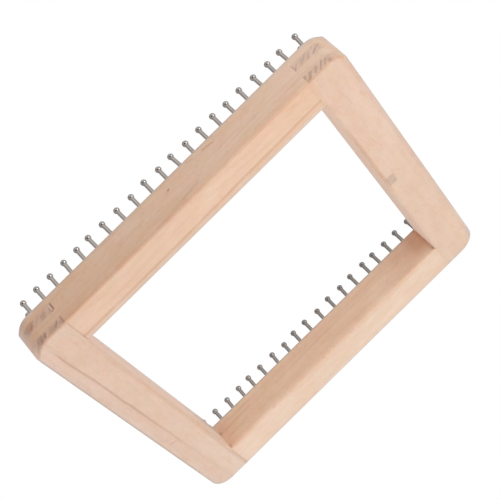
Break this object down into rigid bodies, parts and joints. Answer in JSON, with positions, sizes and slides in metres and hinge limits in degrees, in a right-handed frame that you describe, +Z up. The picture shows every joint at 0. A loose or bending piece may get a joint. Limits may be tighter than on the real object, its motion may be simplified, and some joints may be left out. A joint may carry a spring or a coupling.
{
  "type": "square knitting frame",
  "caption": "Square finger-jointed wooden frame with a row of round-headed steel pins along every rail, for knitting or weaving small squares.",
  "frame": {"origin": "centre of the square footprint, on the underside of the rails", "axes": "+Z up from the underside towards the pins, +X along the front and back rails from left to right, +Y from the front rail to the back rail"},
  "size_m": [0.22, 0.22, 0.0402],
  "materials": {
    "rail_wood": "planed and sanded pale beech, bare",
    "pin_steel": "drawn bright steel"
  },
  "bodies": {
    "root": {"front_rail": "rail_wood", "back_rail": "rail_wood", "left_rail": "rail_wood", "right_rail": "rail_wood", "pins_front_01_02": "pin_steel", "pins_front_03_04": "pin_steel", "pins_front_05_06": "pin_steel", "pins_front_07_08": "pin_steel", "pins_front_09_10": "pin_steel", "pins_front_11_12": "pin_steel", "pins_front_13_14": "pin_steel", "pins_front_15_16": "pin_steel", "pins_front_17_18": "pin_steel", "pins_front_19_20": "pin_steel", "pins_right_01_02": "pin_steel", "pins_right_03_04": "pin_steel", "pins_right_05_06": "pin_steel", "pins_right_07_08": "pin_steel", "pins_right_09_10": "pin_steel", "pins_right_11_12": "pin_steel", "pins_right_13_14": "pin_steel", "pins_right_15_16": "pin_steel", "pins_right_17_18": "pin_steel", "pins_right_19_20": "pin_steel", "pins_back_01_02": "pin_steel", "pins_back_03_04": "pin_steel", "pins_back_05_06": "pin_steel", "pins_back_07_08": "pin_steel", "pins_back_09_10": "pin_steel", "pins_back_11_12": "pin_steel", "pins_back_13_14": "pin_steel", "pins_back_15_16": "pin_steel", "pins_back_17_18": "pin_steel", "pins_back_19_20": "pin_steel", "pins_left_01_02": "pin_steel", "pins_left_03_04": "pin_steel", "pins_left_05_06": "pin_steel", "pins_left_07_08": "pin_steel", "pins_left_09_10": "pin_steel", "pins_left_11_12": "pin_steel", "pins_left_13_14": "pin_steel", "pins_left_15_16": "pin_steel", "pins_left_17_18": "pin_steel", "pins_left_19_20": "pin_steel"}
  },
  "joints": []
}
